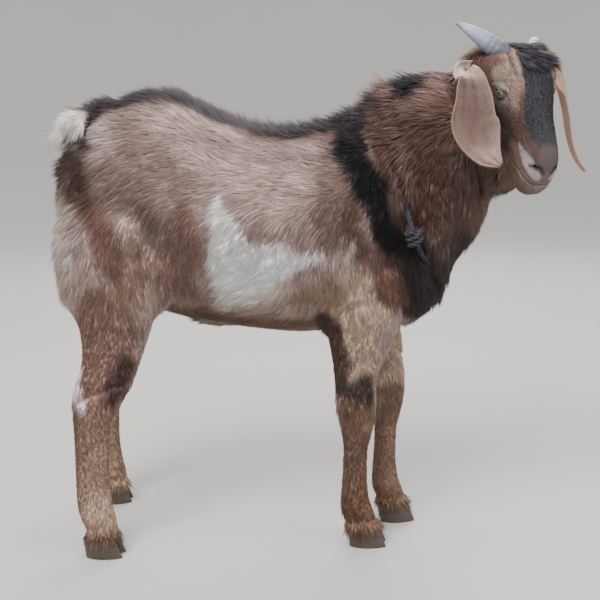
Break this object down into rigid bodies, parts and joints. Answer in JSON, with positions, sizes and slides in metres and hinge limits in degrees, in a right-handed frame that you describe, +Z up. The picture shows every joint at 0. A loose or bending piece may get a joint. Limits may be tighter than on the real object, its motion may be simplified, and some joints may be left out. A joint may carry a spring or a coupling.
{
  "type": "billy goat, life-size still model",
  "caption": "Standing drop-eared billy goat with head turned to its right, short swept horns, raised tail and a knotted rope collar.",
  "frame": {"origin": "middle of the outer box, at the level of the hoof soles", "axes": "+X forward along the trunk, +Z up, the goat's right side and its turned face towards -Y"},
  "size_m": [0.8851, 0.292, 0.8446],
  "materials": {
    "hide": "short red-brown, tan, black and white coat",
    "ear_skin": "thin, fine-haired, pinkish tan",
    "horn": "grey horn, paler on top",
    "hoof": "dark dusty hoof",
    "eye": "wet, amber with a level pupil",
    "rope": "twisted slate-blue rope"
  },
  "bodies": {
    "root": {"torso": "hide", "neck": "hide", "head": "hide", "tail": "hide", "leg_fore_right": "hide", "leg_fore_left": "hide", "leg_hind_right": "hide", "leg_hind_left": "hide", "ear_right": "ear_skin", "ear_left": "ear_skin", "horn_right": "horn", "horn_left": "horn", "eye_right": "eye", "eye_left": "eye", "hoof_fore_right_inner": "hoof", "hoof_fore_right_outer": "hoof", "hoof_fore_left_inner": "hoof", "hoof_fore_left_outer": "hoof", "hoof_hind_right_inner": "hoof", "hoof_hind_right_outer": "hoof", "hoof_hind_left_inner": "hoof", "hoof_hind_left_outer": "hoof", "collar_rope": "rope", "collar_knot": "rope"}
  },
  "joints": []
}
